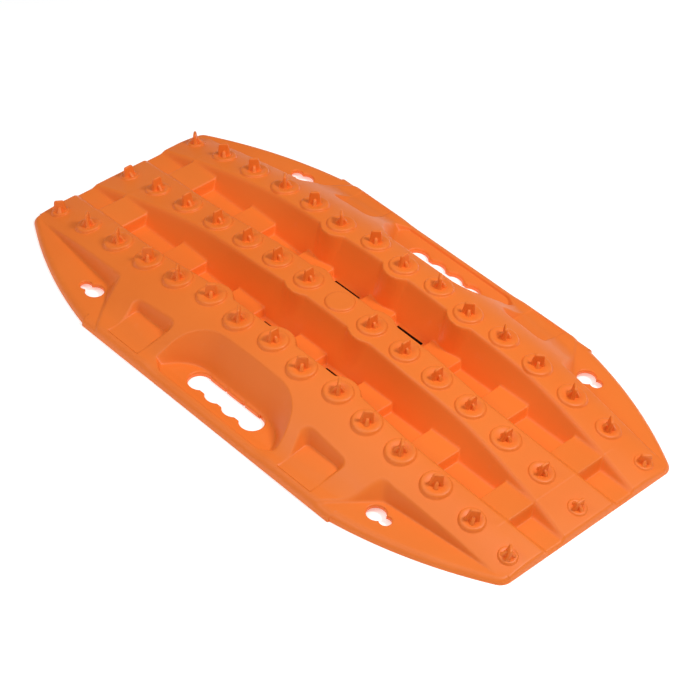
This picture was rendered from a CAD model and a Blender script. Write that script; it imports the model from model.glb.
import math

import bpy
import numpy as np
from mathutils import Matrix, Vector
from mathutils.geometry import delaunay_2d_cdt


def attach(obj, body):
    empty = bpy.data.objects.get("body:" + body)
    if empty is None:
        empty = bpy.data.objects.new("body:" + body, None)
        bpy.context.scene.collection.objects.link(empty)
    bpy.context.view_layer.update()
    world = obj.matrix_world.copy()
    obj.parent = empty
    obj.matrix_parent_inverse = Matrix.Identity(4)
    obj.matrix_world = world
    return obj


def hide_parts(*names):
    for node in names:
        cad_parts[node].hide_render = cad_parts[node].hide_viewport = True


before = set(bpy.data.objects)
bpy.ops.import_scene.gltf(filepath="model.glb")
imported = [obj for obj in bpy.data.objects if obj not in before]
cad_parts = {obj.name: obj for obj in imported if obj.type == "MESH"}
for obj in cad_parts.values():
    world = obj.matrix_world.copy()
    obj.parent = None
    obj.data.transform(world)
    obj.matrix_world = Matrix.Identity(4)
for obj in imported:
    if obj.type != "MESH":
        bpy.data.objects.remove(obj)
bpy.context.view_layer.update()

# The board is one orange nylon moulding. Its top is a smooth height over the plan, worked out
# below in millimetres from the same sizes as the CAD, with the fillets that a mould has. The
# skin is meshed once and then shared out between the pieces, so that it shades as one surface.
# Every shape is even in x and y, so most of them use u = |x| and w = |y|.

MM = 0.001
COLUMN_X = [0.0, 42.0, 84.2, 125.5, 167.5, 211.4, 255.6, 298.6]
HALF_L = 315.0
HALF_W = 167.5
CROWN = 45.5
END_H = 7.2
DROP = CROWN - END_H
ARCH_R = (HALF_L ** 2 + DROP ** 2) / (2 * DROP)
WALL = 4.0
FLOOR = 5.0

# Channel walls: feet at floor height, sideways run per millimetre of height, which grows by
# DRAFT_MORE between the two places DRAFT_X along the board, and the swellings beside cleats
CENTER_FOOT = 33.5
OUTER_FOOT = 54.0
CHANNEL_MID = 43.75
DRAFT_MID = 0.40
DRAFT_MORE = 0.20
DRAFT_X = (85.0, 195.0)
SWELL_DRAFT = 0.22
CENTER_SWELL = 22.5
OUTER_SWELL = 20.0
ROW_Y = 86.0
ROW_SHIFT = 4.5

# Pads in the channels: centre, half length and height. Their ends fall over PAD_END, measured
# from the half length, and their hollows' sides over HOLLOW_SIDE, from the channel's middle.
PADS = [(0.0, 20.0, 12.2), (84.4, 20.0, 12.2), (167.4, 19.5, 13.4), (256.0, 19.0, 15.4)]
PAD_END = (-2.6, 2.4)
HOLLOW_SIDE = (5.5, 7.0)
DRAIN_X = (25.5, 58.5)
DRAIN_Y = (37.4, 53.2)

# Shoulders: the turn down from the ridge, the lip, and the rim outside the finger slot
SEAM = 106.0
TURN_Y = 72.5
TURN_R = 102.0
WAIST = 165.4
BEVEL = (0.8, 0.6)
LIP_H = 8.5
LIP_CREST = 160.6
RIM_Y = 152.0

# Wings: bowed side and round tip as centres and radii, and the floor's fall towards the end
ARC_R = 443.0
ARC_X = 79.2
ARC_Y = -269.0
TIP_R = 13.0
TIP_X = 302.0
TIP_Y = 98.8
WING_FALL = 3.0

# Walls above a wing: the ridge's, whose foot comes in between two places along the board, and
# the slanting one at the shoulder's end, as a line with its unit normal
RIDGE_FOOT_Y = 118.5
RIDGE_FOOT_IN = 12.0
RIDGE_FOOT_X = (187.0, 289.0)
RIDGE_DRAFT = 0.38
END_FOOT = 218.2
END_FACING = (0.789, 0.615)
END_DRAFT = 0.62

# Dish of a hand hold. Pairs are for its side towards the ridge and its side towards the lip:
# place, corner radius, sideways run per millimetre of height, and more run in the corners.
DISH_HALF = 73.5
DISH_Y = (124.3, LIP_CREST - 2.6)
DISH_R = (38.0, 12.0)
DISH_RUN = (0.49, 0.45)
DISH_CORNER = (1.2, 0.8)
DISH_REACH = 90.0
HANDLE_HALF = 66.0
GRIP_Y = 147.0
GRIP_RISE = 1.4

# Pockets: middle, half length, side towards the ridge, corner radius, floor and its fall
POCKET_X = 115.0
POCKET_HALF = 20.0
POCKET_Y = 126.0
POCKET_R = 3.5
POCKET_H = 14.5
POCKET_FALL = 0.14
POCKET_RUN = 0.38
POCKET_CORNER = 0.28
POCKET_REACH = 45.0

# Finger slots and keyholes (x, y, radius)
SLOT_LOBE_R = 11.5
SLOT_LOBE_Y = 136.8
SLOT_Y = (126.0, 144.5)
SLOT_STEP = (92.0 - 2 * SLOT_LOBE_R) / 3
KEY = (189.0, 133.0, 9.0)
KEY_SMALL = (200.5, 133.6, 5.6)

# Edge radii: the long side's roll by the waist and what it loses towards the end, and the rest
SIDE_ROLL = 8.5
SIDE_ROLL_LESS = 3.5
END_ROLL = 3.5
SLOT_ROUND = 2.0
KEY_ROUND = 1.5
DRAIN_ROUND = 0.8

TOOTH_H = 13.5
RING_H = 2.3
LAST_COLUMN = len(COLUMN_X) - 1

# Mesh: spacing of the grid, of the points on outlines, and of the rings inside edges
GRID = 1.25
OUTLINE_STEP = 1.5
BOARD_RINGS = (0.35, 1.0, 2.0, 3.4, 5.2)
HOLE_RINGS = (0.25, 0.7, 1.4)
RIB_HALF = 1.5


def column(k):
    """Where column k of the cleats stands, with k from -7 to 7."""
    return math.copysign(COLUMN_X[abs(k)], k)


# ---- small shape helpers ---------------------------------------------------------------------

def soft_min(a, b, k):
    h = np.clip(0.5 + 0.5 * (b - a) / k, 0.0, 1.0)
    return b + (a - b) * h - k * h * (1.0 - h)


def soft_max(a, b, k):
    return -soft_min(-a, -b, k)


def ease(a, b, x):
    t = np.clip((x - a) / (b - a), 0.0, 1.0)
    return t * t * (3.0 - 2.0 * t)


def corner_box(u, w, half, w0, r):
    """Signed distance to a box |u| < half, w > w0 whose corners have radius r."""
    qx = u - (half - r)
    qy = (w0 + r) - w
    outside = np.hypot(np.maximum(qx, 0.0), np.maximum(qy, 0.0))
    return outside + np.minimum(np.maximum(qx, qy), 0.0) - r


def round_over(d, r):
    """How far a surface with an edge radius r lies below its flat, d inside the edge."""
    s = 1.0 - np.clip(d / r, 0.0, 1.0)
    return r * (1.0 - np.sqrt(1.0 - s * s))


def rolled(d, r):
    """The share of its height that a surface has, d inside an edge rolled down to the ground."""
    s = 1.0 - np.clip(d / r, 0.0, 1.0)
    return np.sqrt(np.maximum(1.0 - s * s, 0.0))


def corner_share(du, dw):
    """How far a spot has turned round a corner, from 0 on its w side to 1 on its u side."""
    du2, dw2 = np.maximum(du, 0.0) ** 2, np.maximum(dw, 0.0) ** 2
    return np.minimum(du2 / np.maximum(du2 + dw2, 1e-6), 1.0)


# ---- outline and holes -----------------------------------------------------------------------

def side_distance(u, w):
    """Distance in from the long side and the bowed side of a wing."""
    arc = ARC_R - np.hypot(u - ARC_X, w - ARC_Y)
    tip = TIP_R - np.hypot(u - TIP_X, w - TIP_Y)
    past_arc = (u - TIP_X) * (TIP_Y - ARC_Y) > (w - TIP_Y) * (TIP_X - ARC_X)
    wing = np.where((w > TIP_Y) & past_arc, tip, arc)
    return np.where(u < WAIST, HALF_W - w, wing)


def slot_distance(u, w):
    """Distance out from the finger slot."""
    rect = corner_box(u, w, 1.5 * SLOT_STEP, SLOT_Y[0], 0.5)
    rect = np.maximum(rect, w - SLOT_Y[1])
    lobes = [np.hypot(u - i * SLOT_STEP, w - SLOT_LOBE_Y) - SLOT_LOBE_R for i in (0.5, 1.5)]
    return np.minimum(rect, np.minimum(lobes[0], lobes[1]))


def key_distance(u, w):
    return np.minimum(
        np.hypot(u - KEY[0], w - KEY[1]) - KEY[2],
        np.hypot(u - KEY_SMALL[0], w - KEY_SMALL[1]) - KEY_SMALL[2],
    )


def drain_distance(u, w):
    return np.maximum(
        np.maximum(DRAIN_X[0] - u, u - DRAIN_X[1]),
        np.maximum(DRAIN_Y[0] - w, w - DRAIN_Y[1]),
    )


def arc_points(cx, cy, r, start, stop, n):
    """n points on an arc, from its start and without its end."""
    turns = [start + (stop - start) * i / n for i in range(n)]
    return [(cx + r * math.cos(a), cy + r * math.sin(a)) for a in turns]


def outline_points():
    """The outline, anticlockwise from the far side's right end."""
    half = WAIST - BEVEL[0]
    n = int(2 * WAIST / OUTLINE_STEP)
    side = [(half - 2 * half * i / n, HALF_W) for i in range(n + 1)]
    side = [(WAIST, HALF_W - BEVEL[1])] + side + [(-WAIST, HALF_W - BEVEL[1])]
    waist_turn = math.acos((WAIST - ARC_X) / ARC_R)
    tip_turn = math.acos((TIP_X - ARC_X) / (ARC_R - TIP_R))
    n = int((waist_turn - tip_turn) * ARC_R / OUTLINE_STEP)
    wing = arc_points(ARC_X, ARC_Y, ARC_R, waist_turn, tip_turn, n)
    wing += arc_points(TIP_X, TIP_Y, TIP_R, tip_turn, 0.0, 12) + [(HALF_L, TIP_Y)]
    n = int(2 * TIP_Y / OUTLINE_STEP)
    end = [(HALF_L, TIP_Y - 2 * TIP_Y * i / n) for i in range(1, n)]
    left = [(-x, y) for x, y in wing + end] + [(-x, -y) for x, y in reversed(wing)]
    return side + left + [(-x, -y) for x, y in side + left]


def slot_points():
    pts = []
    half = 1.5 * SLOT_STEP
    reach = math.acos((SLOT_Y[1] - SLOT_LOBE_Y) / SLOT_LOBE_R)
    for i in (1.5, 0.5, -0.5, -1.5):
        cx = i * SLOT_STEP
        start = -math.pi / 2 if i == 1.5 else math.pi / 2 - reach
        stop = 3 * math.pi / 2 if i == -1.5 else math.pi / 2 + reach
        n = max(6, int(abs(stop - start) * SLOT_LOBE_R / 1.2))
        for j in range(n + 1):
            a = start + (stop - start) * j / n
            x = cx + SLOT_LOBE_R * math.cos(a)
            y = SLOT_LOBE_Y + SLOT_LOBE_R * math.sin(a)
            if abs(x) > half or y > SLOT_Y[0] + 0.3:
                pts.append((x, max(y, SLOT_Y[0] - 0.5)))
    n = int(2 * half / OUTLINE_STEP)
    pts += [(-half + 2 * half * i / n, SLOT_Y[0]) for i in range(1, n)]
    return pts


def key_points():
    dx = KEY_SMALL[0] - KEY[0]
    dy = KEY_SMALL[1] - KEY[1]
    gap = math.hypot(dx, dy)
    lean = math.atan2(dy, dx)
    big = math.acos((gap ** 2 + KEY[2] ** 2 - KEY_SMALL[2] ** 2) / (2 * gap * KEY[2]))
    small = math.acos((gap ** 2 + KEY_SMALL[2] ** 2 - KEY[2] ** 2) / (2 * gap * KEY_SMALL[2]))
    pts = []
    for cx, cy, r, start, stop in (
        (*KEY, lean + big, lean + 2 * math.pi - big),
        (*KEY_SMALL, lean + math.pi + small, lean + 3 * math.pi - small),
    ):
        pts += arc_points(cx, cy, r, start, stop, int((stop - start) * r))
    return pts


def drain_points():
    (x0, x1), (y0, y1) = DRAIN_X, DRAIN_Y
    pts = []
    for ax, ay, bx, by in ((x0, y0, x1, y0), (x1, y0, x1, y1), (x1, y1, x0, y1), (x0, y1, x0, y0)):
        n = int(math.hypot(bx - ax, by - ay) / OUTLINE_STEP)
        pts += [(ax + (bx - ax) * i / n, ay + (by - ay) * i / n) for i in range(n)]
    return pts


def hole_loops():
    loops = []
    for sy in (-1, 1):
        loops.append([(x, sy * y) for x, y in slot_points()])
        for sx in (-1, 1):
            loops.append([(sx * x, sy * y) for x, y in key_points()])
            loops.append([(sx * x, sy * y) for x, y in drain_points()])
    return loops


# ---- heights ---------------------------------------------------------------------------------

def arch(x):
    return CROWN - ARCH_R + np.sqrt(ARCH_R ** 2 - x * x)


def ridge_top(x, w):
    turn = np.clip(w - TURN_Y, 0.0, TURN_R - 4.0)
    return arch(x) - (TURN_R - np.sqrt(TURN_R ** 2 - turn ** 2))


def channel_draft(u):
    return DRAFT_MID + DRAFT_MORE * ease(*DRAFT_X, u)


def channel_base(u, w, lower=0.0):
    """Height of the channel floor and its pads, or of the pads' hollows that much lower."""
    z = np.full_like(u, FLOOR - 2 * lower)
    for centre, half, height in PADS:
        along = np.abs(u - centre)
        inside = 1.0 - ease(half + PAD_END[0], half + PAD_END[1], along + lower)
        if lower:
            inside = inside * (1.0 - ease(*HOLLOW_SIDE, np.abs(w - CHANNEL_MID)))
        z = z + (height - FLOOR + lower) * inside
    return z


def center_wall(u, w, inset=0.0):
    z = FLOOR + (CENTER_FOOT - inset - w) / channel_draft(u)
    swell = arch(u) + (CENTER_SWELL - inset - np.hypot(u - COLUMN_X[1], w)) / SWELL_DRAFT
    return soft_max(z, swell, 6.0)


def outer_wall(u, w, inset=0.0):
    z = FLOOR + (w - OUTER_FOOT - inset) / channel_draft(u)
    for k in (0, 2):
        away = np.hypot(u - COLUMN_X[k], w - ROW_Y + ROW_SHIFT)
        z = soft_max(z, arch(u) + (OUTER_SWELL - inset - away) / SWELL_DRAFT, 6.0)
    return z


def wing_share(u):
    """How far along a wing a spot is, from 0 at the waist to 1 at the end."""
    return np.clip((u - WAIST) / (HALF_L - WAIST), 0.0, 1.0)


def wing_floor(u):
    return LIP_H - WING_FALL * wing_share(u)


def side_wall(u, w, inset=0.0):
    """Walls that drop from an outer ridge and from a shoulder's end to the wing."""
    foot_x, last_x = RIDGE_FOOT_X
    foot = RIDGE_FOOT_Y - RIDGE_FOOT_IN * np.clip((u - foot_x) / (last_x - foot_x), 0.0, 1.2)
    wing = wing_floor(u) + (foot - inset - w) / RIDGE_DRAFT
    end = LIP_H + (END_FOOT - inset - END_FACING[0] * u - END_FACING[1] * w) / END_DRAFT
    return soft_max(wing, end, 10.0)


def shoulder_band(u):
    """Height of the flat band along the rim, higher beside the dish and falling off at the wing."""
    return LIP_H + 2.2 * ease(62.0, 84.0, u) - 8.0 * ease(168.0, 200.0, u)


def band_fillet(u, w):
    """Radius between the shoulder's turn and the band, wide at the rim and tight at the wing."""
    return 0.5 + 9.5 * ease(110.0, 140.0, w) * (1.0 - ease(150.0, 185.0, u))


def handle_floor(w):
    return FLOOR + GRIP_RISE * ease(GRIP_Y, LIP_CREST - 3.0, w)


def near_dish(u, w, past=0.0):
    return (w > SEAM - 6.0) & (u < DISH_REACH) & (w < LIP_CREST + past)


def dish_space(u, w):
    """Floor and sides of the hand hold's dish: steep, and easing off round its corners."""
    away = np.maximum(corner_box(u, w, DISH_HALF, DISH_Y[0], DISH_R[0]), 0.0)
    away = np.hypot(away, 1.5) - 1.5
    corner = corner_share(u - DISH_HALF + DISH_R[0], HALF_W - w)
    ridge_side = away / (DISH_RUN[0] + DISH_CORNER[0] * corner ** 6)
    away = np.maximum(corner_box(u, -w, DISH_HALF, -DISH_Y[1], DISH_R[1]), 0.0)
    corner = corner_share(u - DISH_HALF + DISH_R[1], w - DISH_Y[1] + DISH_R[1])
    lip_side = away / (DISH_RUN[1] + DISH_CORNER[1] * corner ** 2)
    return handle_floor(w) + soft_max(ridge_side, lip_side, 0.8)


def near_pocket(u, w):
    return (np.abs(u - POCKET_X) < POCKET_REACH) & (w > SEAM) & (w < LIP_CREST)


def pocket_space(u, w, grow=0.0):
    """Floor and sides of the pockets in a shoulder, or of the skin around them."""
    floor = POCKET_H - POCKET_FALL * (w - POCKET_Y) - grow
    along = np.abs(u - POCKET_X)
    half, first = POCKET_HALF + grow, POCKET_Y - grow
    away = np.maximum(corner_box(along, w, half, first, POCKET_R), 0.0)
    corner = corner_share(along - half + POCKET_R, first + POCKET_R - w)
    return soft_max(floor, floor + away / (POCKET_RUN + POCKET_CORNER * corner), 1.2)


def top(x, y):
    """Height of the moulding's top face."""
    u, w = np.abs(x), np.abs(y)
    centre = soft_min(arch(u), center_wall(u, w), 4.5)
    outer = soft_min(ridge_top(u, w), outer_wall(u, w), 4.5)
    outer = np.where(w > SEAM, soft_max(outer, shoulder_band(u), band_fillet(u, w)), outer)
    outer = soft_min(outer, side_wall(u, w), 3.0)
    ridge = np.where(w < CHANNEL_MID, centre, outer)
    # under the ridges, the channel's floor gives way to the wing's
    side_base = ease(70.0, 95.0, w)
    base = channel_base(u, w) * (1.0 - side_base) + wing_floor(u) * side_base
    z = soft_max(base, ridge, np.where(w < 80.0, 3.0, 2.5))
    z = np.where(near_dish(u, w, 1.0), soft_min(z, dish_space(u, w), 0.8), z)
    z = np.where(near_pocket(u, w), soft_min(z, pocket_space(u, w), 2.5), z)
    # edges: the rolled rim, the ends, and the holes
    side = np.maximum(side_distance(u, w), 0.0)
    z = z * rolled(side, SIDE_ROLL - SIDE_ROLL_LESS * wing_share(u)) * rolled(HALF_L - u, END_ROLL)
    z = z - round_over(np.maximum(slot_distance(u, w), 0.0), SLOT_ROUND)
    z = z - round_over(np.maximum(key_distance(u, w), 0.0), KEY_ROUND)
    z = z - round_over(np.maximum(drain_distance(u, w), 0.0), DRAIN_ROUND)
    return np.maximum(z, 1.0)


def under(x, y):
    """Height of the moulding's hollow underside."""
    u, w = np.abs(x), np.abs(y)
    inset = WALL * 1.08
    centre = soft_min(arch(u) - WALL, center_wall(u, w, inset) - WALL, 3.0)
    outer = soft_min(ridge_top(u, w) - WALL, outer_wall(u, w, inset) - WALL, 3.0)
    outer = soft_min(outer, side_wall(u, w, inset) - WALL, 4.0)
    z = np.where(w < CHANNEL_MID, centre, outer)
    pads = (channel_base(u, w, WALL) - 1.0) * ((w > 20.0) & (w < 70.0))
    wing = (wing_floor(u) - WALL) * ease(4.0, 5.0, side_distance(u, w))
    wing = wing * (w > 90.0) * (u > WAIST - 8.0)
    z = np.maximum(np.maximum(z, pads), wing)
    z = np.where(near_dish(u, w), np.minimum(z, dish_space(u - 2.0, w + 3.0) - WALL), z)
    z = np.where(near_pocket(u, w), np.minimum(z, pocket_space(u, w, WALL)), z)
    # solid to the ground along the outline, and round every hole but the keyholes
    z = z * ease(4.0, 5.5, board_edge(x, y))
    solid_rim = (w < 90.0) | (u < DISH_REACH)
    z = np.where(solid_rim, z * ease(3.0, 4.5, hole_edge(x, y)), z)
    return np.clip(z, 0.0, top(x, y) - 0.8)


def normals_of(height, x, y, up):
    h = 0.25
    gx = (height(x + h, y) - height(x - h, y)) / (2 * h)
    gy = (height(x, y + h) - height(x, y - h)) / (2 * h)
    n = np.stack([-gx, -gy, np.ones_like(gx)], axis=1)
    n /= np.linalg.norm(n, axis=1)[:, None]
    return n if up else -n


# ---- which piece a spot belongs to -----------------------------------------------------------

DECK = [
    "ridge_near", "ridge_center", "ridge_far", "channel_near", "channel_far",
    "shoulder_near", "shoulder_far", "handle_near", "handle_far",
    "wing_near_left", "wing_near_right", "wing_far_left", "wing_far_right",
]


def near_or_far(kind, far):
    return np.where(far, DECK.index(kind + "_far"), DECK.index(kind + "_near"))


def piece_index(x, y):
    """Places in DECK of the pieces that the spots belong to."""
    u, w = np.abs(x), np.abs(y)
    far, right = y > 0, x > 0
    wall = np.where(w < CHANNEL_MID, center_wall(u, w), outer_wall(u, w))
    in_channel = (w > 15.0) & (w < 72.0) & (channel_base(u, w) > wall)
    on_floor = dish_space(u, w) < handle_floor(w) + 0.1
    in_handle = (w > 120.0) & (u < HANDLE_HALF) & (on_floor | (w > RIM_Y))
    rim_side = (u < WAIST) & (w > RIM_Y)
    raised = soft_min(ridge_top(u, w), side_wall(u, w), 5.0) > wing_floor(u)
    in_shoulder = (w > SEAM) & (u < 165.0) & (raised | rim_side)
    in_wing = (w > 95.0) & (u > 140.0) & ~raised & ~rim_side
    index = near_or_far("ridge", far)
    index = np.where(w < CHANNEL_MID, DECK.index("ridge_center"), index)
    index = np.where(in_channel, near_or_far("channel", far), index)
    index = np.where(in_shoulder, near_or_far("shoulder", far), index)
    first_wing = DECK.index("wing_near_left")
    index = np.where(in_wing, first_wing + 2 * far.astype(int) + right.astype(int), index)
    return np.where(in_handle, near_or_far("handle", far), index)


# ---- the skin --------------------------------------------------------------------------------

def inner_rings(loop, distance, offsets):
    """Copies of a loop moved into the material, to carry the curve of an edge."""
    p = np.array(loop)
    h = 0.05
    px, py = p[:, 0], p[:, 1]
    gx = distance(px + h, py) - distance(px - h, py)
    gy = distance(px, py + h) - distance(px, py - h)
    size = np.maximum(np.hypot(gx, gy), 1e-9)
    step = np.column_stack([gx / size, gy / size])
    return np.concatenate([p + step * d for d in offsets])


def board_edge(x, y):
    return np.minimum(side_distance(np.abs(x), np.abs(y)), HALF_L - np.abs(x))


def hole_edge(x, y):
    u, w = np.abs(x), np.abs(y)
    return np.minimum(np.minimum(slot_distance(u, w), key_distance(u, w)), drain_distance(u, w))


def with_steps(even, steps, clear):
    """Evenly spaced places with extra ones at the steps, which push out those within clear."""
    near = np.abs(even[:, None] - steps[None, :]).min(axis=1)
    return np.sort(np.concatenate([even[near > clear], steps]))


def column_lines():
    """Where the mesh has its lines across the board: evenly, and closer at the steps in x."""
    n = int(round(2 * HALF_L / GRID))
    even = (np.arange(n) + 0.5) * (2 * HALF_L / n) - HALF_L
    steps = [HALF_L - d for d in (0.5, 1.2, 2.2, 3.4)]
    for centre, half, _ in PADS:
        edges = [centre + half] if centre == 0.0 else [centre - half, centre + half]
        steps += [e + d for e in edges for d in (-1.6, -1.0, -0.5, 0.0, 0.5, 1.2)]
    steps = np.array(steps)
    return with_steps(even, np.concatenate([steps, -steps]), 0.4 * GRID)


def column_points(x):
    """Points along one line across the board, closer together where the top is steep."""
    fine = np.arange(-HALF_W + 0.1, HALF_W, 0.2)
    z = top(np.full_like(fine, x), fine)
    run = np.concatenate([[0.0], np.cumsum(np.hypot(np.diff(fine), 0.8 * np.diff(z)))])
    count = int(run[-1] / GRID)
    even = np.interp((np.arange(count) + 0.5) * run[-1] / count, run, fine)
    low, high = HOLLOW_SIDE
    sides = np.array([low - 0.1, (low + high) / 2, high + 0.1])
    steps = np.concatenate([CHANNEL_MID + sides, CHANNEL_MID - sides])
    return with_steps(even, np.concatenate([steps, -steps]), 0.3 * GRID)


def plan_mesh():
    """Points and triangles of the plan, with the outline and every hole as edges."""
    outline, holes = outline_points(), hole_loops()
    points, edges = [], []
    for loop in [outline] + holes:
        first = len(points)
        points += loop
        edges += [(first + i, first + (i + 1) % len(loop)) for i in range(len(loop))]
    rings = [inner_rings(outline, board_edge, BOARD_RINGS)]
    rings += [inner_rings(loop, hole_edge, HOLE_RINGS) for loop in holes]
    rings = np.concatenate(rings)
    keep = (board_edge(rings[:, 0], rings[:, 1]) > 0.3) & (hole_edge(rings[:, 0], rings[:, 1]) > 0.2)
    points += rings[keep].tolist()
    lines = [(x, column_points(x)) for x in column_lines()]
    xx = np.concatenate([np.full_like(ys, x) for x, ys in lines])
    yy = np.concatenate([ys for _, ys in lines])
    clear_of_rings = BOARD_RINGS[-1] + 0.4 * GRID
    keep = side_distance(np.abs(xx), np.abs(yy)) > clear_of_rings
    keep &= hole_edge(xx, yy) > HOLE_RINGS[-1] + 0.4 * GRID
    by_end = (HALF_W - np.abs(yy) > 9.0) & (HALF_L - np.abs(xx) > 0.4)
    keep &= by_end | (board_edge(xx, yy) > clear_of_rings)
    points += list(zip(xx[keep].tolist(), yy[keep].tolist()))
    verts, _, faces, _, _, _ = delaunay_2d_cdt([Vector(p) for p in points], edges, [], 0, 1e-5)
    xy = np.array([(v.x, v.y) for v in verts])
    tri = np.array([f for f in faces if len(f) == 3])
    mid = xy[tri].mean(axis=1)
    inside = np.minimum(board_edge(mid[:, 0], mid[:, 1]), hole_edge(mid[:, 0], mid[:, 1])) > -0.02
    tri = tri[inside]
    a, b, c = xy[tri[:, 0]], xy[tri[:, 1]], xy[tri[:, 2]]
    area = (b[:, 0] - a[:, 0]) * (c[:, 1] - a[:, 1]) - (b[:, 1] - a[:, 1]) * (c[:, 0] - a[:, 0])
    tri[area < 0] = tri[area < 0][:, ::-1]
    return xy, tri[np.abs(area) > 1e-6]


def border_edges(tri):
    """Directed edges that only one triangle of the piece has."""
    e = np.concatenate([tri[:, [0, 1]], tri[:, [1, 2]], tri[:, [2, 0]]])
    big = int(tri.max()) + 1
    forward = e[:, 0] * big + e[:, 1]
    back = e[:, 1] * big + e[:, 0]
    return e[~np.isin(forward, back)]


def new_object(name, verts, faces, normals, node, grime=None):
    """A mesh object in metres, with a normal for each face corner, that stands for a CAD node."""
    mesh = bpy.data.meshes.new(name)
    mesh.from_pydata((np.asarray(verts) * MM).tolist(), [], faces)
    mesh.polygons.foreach_set("use_smooth", [True] * len(mesh.polygons))
    if normals is not None:
        mesh.normals_split_custom_set(normals)
    if grime is not None:
        mesh.attributes.new("grime", "FLOAT", "FACE").data.foreach_set("value", grime)
    mesh.materials.append(nylon)
    obj = bpy.data.objects.new(name, mesh)
    bpy.context.collection.objects.link(obj)
    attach(obj, "root")
    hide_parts(node)
    return obj


def rib_prism(x, y0, y1):
    """A thin rib under the skin from y0 to y1, as vertices and faces."""
    ys = np.linspace(y0, y1, 2 + int(abs(y1 - y0) / 3.0))
    z = under(np.full_like(ys, x), ys) + 0.6
    left, right = x - RIB_HALF, x + RIB_HALF
    verts, faces = [], []
    for yi, zi in zip(ys, z):
        verts += [(left, yi, 0.0), (right, yi, 0.0), (right, yi, zi), (left, yi, zi)]
    for i in range(len(ys) - 1):
        a, b = 4 * i, 4 * i + 4
        faces += [(a + j, a + (j + 1) % 4, b + (j + 1) % 4, b + j) for j in range(4)]
    last = 4 * (len(ys) - 1)
    faces += [(3, 2, 1, 0), (last, last + 1, last + 2, last + 3)]
    return verts, faces


def piece_ribs(name):
    """The ribs of one deck piece."""
    spans = {"ridge_center": (-30.0, 30.0), "ridge_far": (57.0, 105.0), "ridge_near": (-105.0, -57.0)}
    spans.update({"shoulder_far": (107.0, 150.0), "shoulder_near": (-150.0, -107.0)})
    if name not in spans:
        return []
    y0, y1 = spans[name]
    columns = (-3, -2, 2, 3) if name.startswith("shoulder") else range(-6, 7)
    return [rib_prism(column(k), y0, y1) for k in columns]


def flat_normals(verts, faces):
    """One normal for each corner of four-sided faces."""
    normals = []
    for f in faces:
        p = [np.array(verts[i]) for i in f]
        n = np.cross(p[2] - p[0], p[3] - p[1])
        normals += [tuple(n / np.linalg.norm(n))] * 4
    return normals


def build_deck():
    xy, tri = plan_mesh()
    x, y = xy[:, 0], xy[:, 1]
    z_top, z_low = top(x, y), under(x, y)
    n_top, n_low = normals_of(top, x, y, True), normals_of(under, x, y, False)
    mid = xy[tri].mean(axis=1)
    owner = piece_index(mid[:, 0], mid[:, 1])
    for index, name in enumerate(DECK):
        part = tri[owner == index]
        used = np.unique(part)
        local = np.zeros(len(xy), dtype=int)
        local[used] = np.arange(len(used))
        mine = local[part]
        n = len(used)
        verts = np.concatenate([
            np.column_stack([xy[used], z_top[used]]),
            np.column_stack([xy[used], z_low[used]]),
        ])
        walls = border_edges(mine)
        wall_faces = np.column_stack([walls[:, 0], walls[:, 0] + n, walls[:, 1] + n, walls[:, 1]])
        faces = mine.tolist() + (mine[:, ::-1] + n).tolist() + wall_faces.tolist()
        d = verts[walls[:, 1], :2] - verts[walls[:, 0], :2]
        d /= np.maximum(np.linalg.norm(d, axis=1), 1e-9)[:, None]
        out = np.column_stack([d[:, 1], -d[:, 0], np.zeros(len(d))])
        normals = np.concatenate([
            n_top[used][mine].reshape(-1, 3),
            n_low[used][mine[:, ::-1]].reshape(-1, 3),
            np.repeat(out, 4, axis=0),
        ]).tolist()
        middle = 0.5 * (verts[walls[:, 0], :2] + verts[walls[:, 1], :2])
        in_drain = np.abs(drain_distance(np.abs(middle[:, 0]), np.abs(middle[:, 1]))) < 0.3
        grime = [0.0] * (2 * len(mine)) + in_drain.astype(float).tolist()
        verts = verts.tolist()
        for rib_verts, rib_faces in piece_ribs(name):
            first = len(verts)
            verts += rib_verts
            normals += flat_normals(rib_verts, rib_faces)
            faces += [tuple(first + i for i in f) for f in rib_faces]
            grime += [0.0] * len(rib_faces)
        new_object("board_" + name, verts, faces, normals, name, grime)


# ---- cleats ----------------------------------------------------------------------------------

# Which outer-row blades slant one way (+1) or the other, by column
SLANTS = [0, -1, 1, -1, 1, -1, -1, 1]


def row_offset(row, k):
    """Where a row of cleats runs at column k: the outer rows step in at three columns."""
    return (row - 1) * (ROW_Y - (ROW_SHIFT if k in (-2, 0, 2) else 0.0))


def ring_size(k):
    return {LAST_COLUMN: 0.62, LAST_COLUMN - 1: 0.85}.get(abs(k), 1.0)


# Section of a ring: radius, share that it has of the levelling below, and height above the
# skin, as a part of the ring's height
RING_SECTION = [
    (15.1, 0.0, -0.30), (14.9, 0.0, -0.01), (14.6, 0.03, 0.04), (14.3, 0.12, 0.18), (14.0, 0.30, 0.40),
    (13.7, 0.50, 0.60), (13.3, 0.74, 0.78), (12.8, 0.90, 0.90), (12.1, 0.98, 0.97), (11.2, 1.0, 1.0),
    (10.2, 1.0, 0.97), (9.2, 1.0, 0.89), (8.2, 1.0, 0.78), (7.2, 1.0, 0.67), (6.2, 1.0, 0.58),
    (4.8, 1.0, 0.52), (3.0, 1.0, 0.50),
]
DISC_SECTION = RING_SECTION[:10] + [
    (9.8, 1.0, 1.0), (8.6, 1.0, 0.95), (7.2, 1.0, 0.90), (4.0, 1.0, 0.88),
]

# A ring stands on the skin, and levels out this much of the skin's fall from the ridge's arch
RING_LEVELS = 0.4


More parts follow.
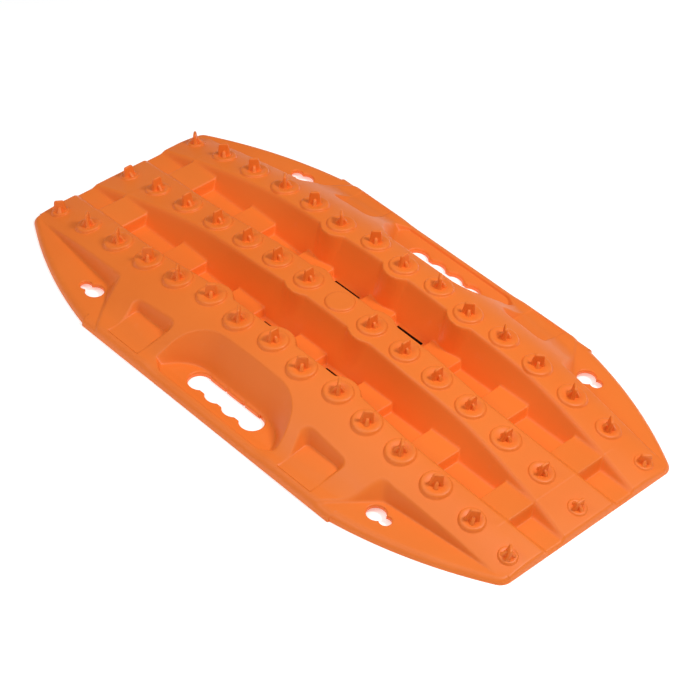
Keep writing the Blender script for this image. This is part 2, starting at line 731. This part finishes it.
def ring_mesh(cx, cy, size, height, section, sides=72):
    """A turned ring on the skin, closed in the middle by a shallow dish."""
    a = 2 * np.pi * np.arange(sides) / sides
    verts, faces = [], []
    for radius, share, h in section:
        r = size * radius
        px, py = cx + r * np.cos(a), cy + r * np.sin(a)
        skin = top(px, py)
        z = skin + RING_LEVELS * share * (arch(px) - skin) + height * h
        verts += np.column_stack([px, py, z]).tolist()
    for j in range(len(section) - 1):
        for i in range(sides):
            p, q = j * sides + i, j * sides + (i + 1) % sides
            faces.append((p, q, q + sides, p + sides))
    last = (len(section) - 1) * sides
    verts.append((cx, cy, arch(cx) + height * section[-1][2]))
    faces += [(last + i, last + (i + 1) % sides, len(verts) - 1) for i in range(sides)]
    faces.append(tuple(reversed(range(sides))))
    return verts, faces


def blade_mesh(sections, corner=5):
    """An upright blade along x with rounded edges: height, half length and half thickness."""
    verts, faces = [], []
    for z, half, thick in sections:
        r = 0.75 * thick
        for sx, sy, a0 in ((1, 1, 0.0), (-1, 1, 0.5), (-1, -1, 1.0), (1, -1, 1.5)):
            for i in range(corner):
                a = (a0 + 0.5 * i / (corner - 1)) * math.pi
                verts.append((sx * (half - r) + r * math.cos(a), sy * (thick - r) + r * math.sin(a), z))
    n = 4 * corner
    for j in range(len(sections) - 1):
        for i in range(n):
            p, q = j * n + i, j * n + (i + 1) % n
            faces.append((p, q, q + n, p + n))
    faces.append(tuple(range((len(sections) - 1) * n, len(sections) * n)))
    faces.append(tuple(reversed(range(n))))
    return verts, faces


def placed(part, place, lean, turn):
    """A mesh turned about z, leant with the ridge and moved to its place."""
    spin = Matrix.Translation(place) @ Matrix.Rotation(lean, 4, "Y") @ Matrix.Rotation(turn, 4, "Z")
    verts, faces = part
    return [tuple(spin @ Vector(v)) for v in verts], faces


def join(parts):
    verts, faces = [], []
    for v, f in parts:
        first = len(verts)
        verts += v
        faces += [tuple(first + i for i in g) for g in f]
    return verts, faces


# Sections of a cleat's two blades: height, half length and half thickness. The foot is the same
# for all, and the rest is measured down from a blade's top.
BLADE_FOOT = [(-1.5, 7.4, 2.9), (0.5, 7.0, 2.5)]
MAIN_FOOT = [(1.3, 6.4, 2.1), (2.4, 6.1, 1.9)]
MAIN_TOP = [(-1.7, 4.9, 1.45), (-0.9, 4.6, 1.35), (-0.3, 4.0, 1.1), (0.0, 3.2, 0.7)]
FIN_FOOT = [(1.3, 6.3, 2.1), (2.4, 5.7, 1.9)]
FIN_TOP = [(-2.2, 4.7, 1.7), (-0.9, 3.8, 1.5), (-0.2, 2.8, 1.2), (0.0, 2.0, 0.8)]
FIN_SHARE = 0.47


def build_cleat(row_name, row, k):
    x, y = column(k), row_offset(row, k)
    size = ring_size(k)
    tip = TOOTH_H - (2.5 if abs(k) == LAST_COLUMN else 0.0)
    low = FIN_SHARE * tip
    main = BLADE_FOOT + MAIN_FOOT + [(0.5 * tip, 5.5, 1.7)]
    main += [(tip + drop, half, thick) for drop, half, thick in MAIN_TOP]
    fin = BLADE_FOOT + FIN_FOOT
    fin += [(low + drop, half, thick) for drop, half, thick in FIN_TOP]
    turn = math.radians(90.0)
    if row != 1 and k != 0:
        turn = math.radians(45.0 * (row - 1) * math.copysign(1, k) * SLANTS[abs(k)])
    place = (x, y, arch(x))
    lean = math.asin(x / ARCH_R)
    verts, faces = join([
        ring_mesh(x, y, size, RING_H * size, RING_SECTION),
        placed(blade_mesh(main), place, lean, turn),
        placed(blade_mesh(fin), place, lean, turn + math.pi / 2),
    ])
    name = "cleat_%s_%02d" % (row_name, k + LAST_COLUMN + 1)
    build_on_top(name, verts, faces)


def build_on_top(name, verts, faces):
    """A cleat or the disc, smooth but for its sharper edges."""
    obj = new_object("board_" + name, verts, faces, None, name)
    obj.data.set_sharp_from_angle(angle=math.radians(50.0))


def build_cleats():
    """Three rows of cleats, with a plain disc in place of the middle one."""
    for row, row_name in enumerate(("near", "center", "far")):
        for k in range(-LAST_COLUMN, LAST_COLUMN + 1):
            if row != 1 or k != 0:
                build_cleat(row_name, row, k)
    build_on_top("center_disc", *ring_mesh(0.0, 0.0, 1.0, RING_H - 0.3, DISC_SECTION))


# ---- material --------------------------------------------------------------------------------

def make_nylon():
    """Orange glass-filled nylon: moulded grain, slight flow clouding and pale scuffs."""
    mat = bpy.data.materials.new("orange_nylon")
    mat.use_nodes = True
    nt = mat.node_tree
    bsdf = nt.nodes["Principled BSDF"]
    coords = nt.nodes.new("ShaderNodeTexCoord")

    def noise(scale, detail, rough):
        n = nt.nodes.new("ShaderNodeTexNoise")
        n.inputs["Scale"].default_value = scale
        n.inputs["Detail"].default_value = detail
        n.inputs["Roughness"].default_value = rough
        nt.links.new(coords.outputs["Object"], n.inputs["Vector"])
        return n

    def spread(factor, low, high, start=0.0, stop=1.0):
        """A value that goes from low to high while the factor goes from start to stop."""
        n = nt.nodes.new("ShaderNodeMapRange")
        for socket, value in (("From Min", start), ("From Max", stop), ("To Min", low), ("To Max", high)):
            n.inputs[socket].default_value = value
        nt.links.new(factor, n.inputs["Value"])
        return n.outputs["Result"]

    def mixed(factor, base, other):
        """The base colour, turning into the other one as the factor grows."""
        n = nt.nodes.new("ShaderNodeMix")
        n.data_type = "RGBA"
        n.inputs["B"].default_value = other
        nt.links.new(factor, n.inputs["Factor"])
        nt.links.new(base, n.inputs["A"])
        return n.outputs["Result"]

    clouds = noise(9.0, 3.0, 0.5)
    grain = noise(900.0, 3.0, 0.6)
    dust = noise(60.0, 6.0, 0.7)

    tint = nt.nodes.new("ShaderNodeValToRGB")
    ends = ((0.35, (0.92, 0.200, 0.023, 1)), (0.65, (0.95, 0.215, 0.027, 1)))
    for element, (position, colour) in zip(tint.color_ramp.elements, ends):
        element.position = position
        element.color = colour
    nt.links.new(clouds.outputs["Fac"], tint.inputs["Fac"])

    # pale scuffs, and dirt on the drains' walls, which takes the shine away too
    scuff = spread(dust.outputs["Fac"], 0.0, 0.25, 0.62, 0.80)
    scuffed = mixed(scuff, tint.outputs["Color"], (0.92, 0.30, 0.12, 1))
    drains = nt.nodes.new("ShaderNodeAttribute")
    drains.attribute_name = "grime"
    dirty = mixed(drains.outputs["Fac"], scuffed, (0.012, 0.006, 0.004, 1))
    nt.links.new(dirty, bsdf.inputs["Base Color"])
    nt.links.new(spread(drains.outputs["Fac"], 0.5, 0.0), bsdf.inputs["Specular IOR Level"])
    nt.links.new(spread(grain.outputs["Fac"], 0.36, 0.50), bsdf.inputs["Roughness"])

    bump = nt.nodes.new("ShaderNodeBump")
    bump.inputs["Strength"].default_value = 0.10
    bump.inputs["Distance"].default_value = 0.0004
    nt.links.new(grain.outputs["Fac"], bump.inputs["Height"])
    nt.links.new(bump.outputs["Normal"], bsdf.inputs["Normal"])

    bsdf.inputs["IOR"].default_value = 1.42
    return mat


def make_floor_material():
    mat = bpy.data.materials.new("studio_floor")
    mat.use_nodes = True
    bsdf = mat.node_tree.nodes["Principled BSDF"]
    bsdf.inputs["Base Color"].default_value = (0.93, 0.93, 0.93, 1)
    bsdf.inputs["Roughness"].default_value = 0.9
    bsdf.inputs["Emission Color"].default_value = (1.0, 1.0, 1.0, 1)
    bsdf.inputs["Emission Strength"].default_value = 0.35
    return mat


# ---- stage -----------------------------------------------------------------------------------

def build_floor():
    mesh = bpy.data.meshes.new("studio_floor")
    size = 6.0
    corners = [(-size, -size, 0), (size, -size, 0), (size, size, 0), (-size, size, 0)]
    mesh.from_pydata(corners, [], [(0, 1, 2, 3)])
    mesh.materials.append(make_floor_material())
    floor = bpy.data.objects.new("studio_floor", mesh)
    bpy.context.collection.objects.link(floor)


def build_lights():
    """A dim white world and four square lights, aimed at the origin."""
    world = bpy.data.worlds.new("studio")
    world.use_nodes = True
    sky = world.node_tree.nodes["Background"]
    sky.inputs["Color"].default_value = (1.0, 1.0, 1.0, 1)
    sky.inputs["Strength"].default_value = 0.20
    bpy.context.scene.world = world

    for name, place, size, watts in (
        ("overhead", (0.0, -0.1, 1.5), 1.4, 6.0),
        ("key", (0.75, 0.50, 1.35), 0.3, 11.3),
        ("fill", (-0.6, -1.3, 1.5), 0.5, 4.5),
        ("front", (0.3, -2.2, 2.4), 1.8, 13.3),
    ):
        light = bpy.data.lights.new(name, "AREA")
        light.shape = "SQUARE"
        light.size = size
        light.energy = watts
        obj = bpy.data.objects.new(name, light)
        obj.location = place
        obj.rotation_euler = (-Vector(place)).to_track_quat("-Z", "Y").to_euler()
        bpy.context.collection.objects.link(obj)


def build_camera():
    """The camera at the photograph's angle, from its right, its backward direction and its place."""
    cam = bpy.data.cameras.new("camera")
    cam.lens = 125.0
    cam.sensor_width = 36.0
    cam.clip_end = 50.0
    obj = bpy.data.objects.new("camera", cam)
    across = Vector((0.68766, 0.72380, 0.05687)).normalized()
    back = Vector((0.51511, -0.54159, 0.66434))
    back = (back - across * back.dot(across)).normalized()
    spin = Matrix((across, back.cross(across), back)).transposed()
    obj.matrix_world = Matrix.Translation((1.16639, -1.20840, 1.48101)) @ spin.to_4x4()
    bpy.context.collection.objects.link(obj)
    bpy.context.scene.camera = obj
    bpy.context.scene.view_settings.view_transform = "Standard"


nylon = make_nylon()
build_floor()
build_lights()
build_camera()
build_deck()
build_cleats()
